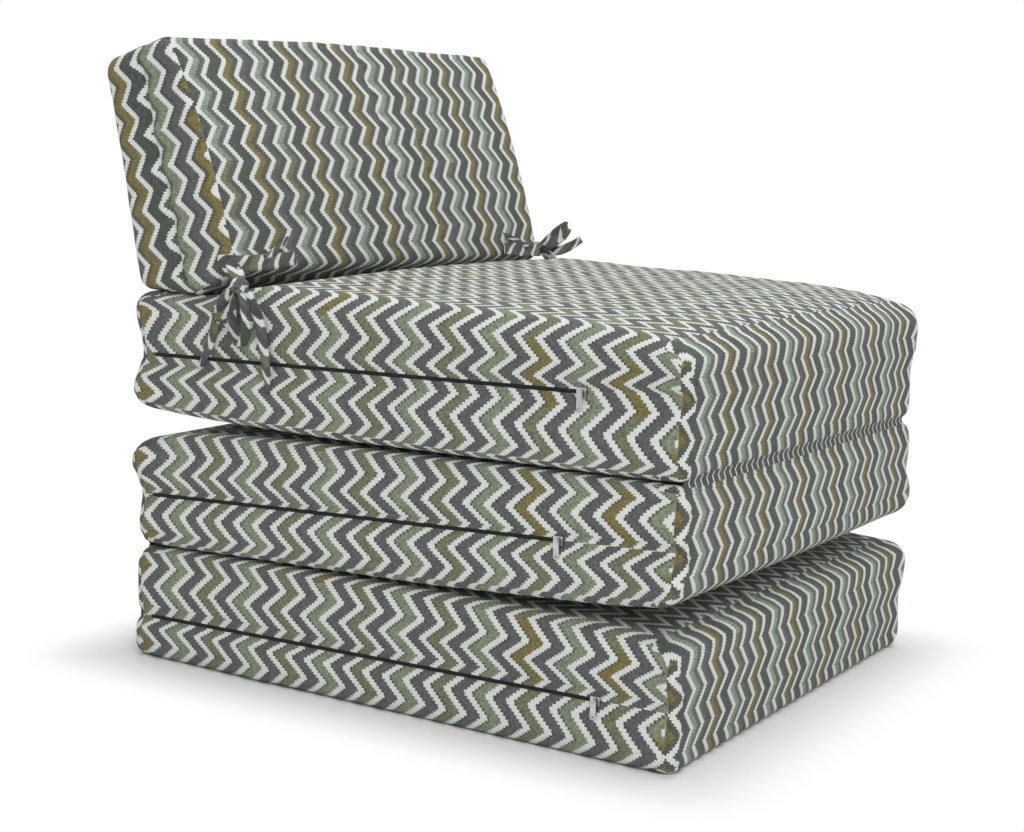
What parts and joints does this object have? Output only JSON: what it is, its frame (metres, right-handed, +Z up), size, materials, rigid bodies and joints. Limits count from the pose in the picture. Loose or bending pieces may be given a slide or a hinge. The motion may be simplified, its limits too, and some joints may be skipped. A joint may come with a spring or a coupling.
{
  "type": "convertible chair bed",
  "caption": "Fold-out chair bed of zipped foam cushions stacked in a zigzag and sewn along alternate edges, with a leaning back cushion tied on by bows.",
  "frame": {"origin": "on the floor under the middle of the bottom cushion", "axes": "+Z up, the sitter faces -Y, the cushions' zips are on the -X side"},
  "size_m": [0.714, 0.724, 0.6764],
  "materials": {
    "cover": "woven cover with a zigzag stripe pattern",
    "tie": "folded strips of the cover's cloth",
    "strip": "dark woven seam tape",
    "foam": "open-cell foam",
    "zip_tape": "dark woven tape",
    "zip_coil": "moulded coil",
    "zip_metal": "pressed and tumbled metal"
  },
  "bodies": {
    "bottom": {"bottom_foam": "foam", "bottom_zip_tape": "zip_tape", "bottom_zip_coil": "zip_coil", "bottom_front_panel": "cover", "bottom_rear_panel": "cover", "bottom_wrap_cover": "cover", "rear_fold_strip": "strip"},
    "middle": {"middle_foam": "foam", "middle_zip_tape": "zip_tape", "middle_zip_coil": "zip_coil", "middle_front_panel": "cover", "middle_rear_panel": "cover", "middle_wrap_cover": "cover", "front_fold_strip": "strip"},
    "top": {"top_foam": "foam", "top_zip_tape": "zip_tape", "top_zip_coil": "zip_coil", "top_front_panel": "cover", "top_rear_panel": "cover", "top_wrap_cover": "cover", "right_bow_knot": "tie", "right_seat_tie": "tie", "right_bow_long_tail": "tie", "right_bow_short_tail": "tie", "right_bow_loop": "tie", "left_bow_knot": "tie", "left_seat_tie": "tie", "left_bow_long_tail": "tie", "left_bow_short_tail": "tie", "left_bow_loop": "tie"},
    "back": {"back_foam": "foam", "back_zip_tape": "zip_tape", "back_zip_coil": "zip_coil", "back_right_end_panel": "cover", "back_left_end_panel": "cover", "back_wrap_cover": "cover", "right_back_tie": "tie", "left_back_tie": "tie"},
    "bottom_slider": {"bottom_zip_slider": "zip_metal"},
    "bottom_pull": {"bottom_zip_pull": "zip_metal"},
    "middle_slider": {"middle_zip_slider": "zip_metal"},
    "middle_pull": {"middle_zip_pull": "zip_metal"},
    "top_slider": {"top_zip_slider": "zip_metal"},
    "top_pull": {"top_zip_pull": "zip_metal"},
    "back_slider": {"back_zip_slider": "zip_metal"},
    "back_pull": {"back_zip_pull": "zip_metal"}
  },
  "joints": [
    {"name": "middle_fold", "type": "hinge", "parent": "bottom", "child": "middle", "pos_m": [0, 0.33, 0.124], "axis": [-1, 0, 0], "range_deg": [0, 176.05]},
    {"name": "top_fold", "type": "hinge", "parent": "middle", "child": "top", "pos_m": [0, -0.32072, 0.2812], "axis": [1, 0, 0], "range_deg": [0, 176.05]},
    {"name": "back_fold", "type": "hinge", "parent": "top", "child": "back", "pos_m": [0, 0.21528, 0.4395], "axis": [1, 0, 0], "range_deg": [0, 111]},
    {"name": "bottom_zip_slide", "type": "slide", "parent": "bottom", "child": "bottom_slider", "axis": [0, 0.9997, -0.0237], "range_m": [0, 0.539]},
    {"name": "bottom_pull_swing", "type": "hinge", "parent": "bottom_slider", "child": "bottom_pull", "pos_m": [-0.329, -0.243, 0.06], "axis": [-1, 0, 0], "range_deg": [-90, 90]},
    {"name": "middle_zip_slide", "type": "slide", "parent": "middle", "child": "middle_slider", "axis": [0, 0.9985, -0.055], "range_m": [0, 0.492]},
    {"name": "middle_pull_swing", "type": "hinge", "parent": "middle_slider", "child": "middle_pull", "pos_m": [-0.329, -0.19131, 0.21012], "axis": [-1, 0, 0], "range_deg": [-90, 90]},
    {"name": "top_zip_slide", "type": "slide", "parent": "top", "child": "top_slider", "axis": [0, 0.9992, -0.0403], "range_m": [0, 0.511]},
    {"name": "top_pull_swing", "type": "hinge", "parent": "top_slider", "child": "top_pull", "pos_m": [-0.329, -0.20572, 0.3572], "axis": [-1, 0, 0], "range_deg": [-90, 90]},
    {"name": "back_zip_slide", "type": "slide", "parent": "back", "child": "back_slider", "axis": [1, 0, 0], "range_m": [0, 0.51]},
    {"name": "back_pull_swing", "type": "hinge", "parent": "back_slider", "child": "back_pull", "pos_m": [-0.26, 0.34723, 0.44424], "axis": [0, 0.9686, -0.2487], "range_deg": [-90, 90]}
  ],
  "couplings": [
    {"joint": "top_fold", "follows": "middle_fold", "ratio": 1}
  ]
}
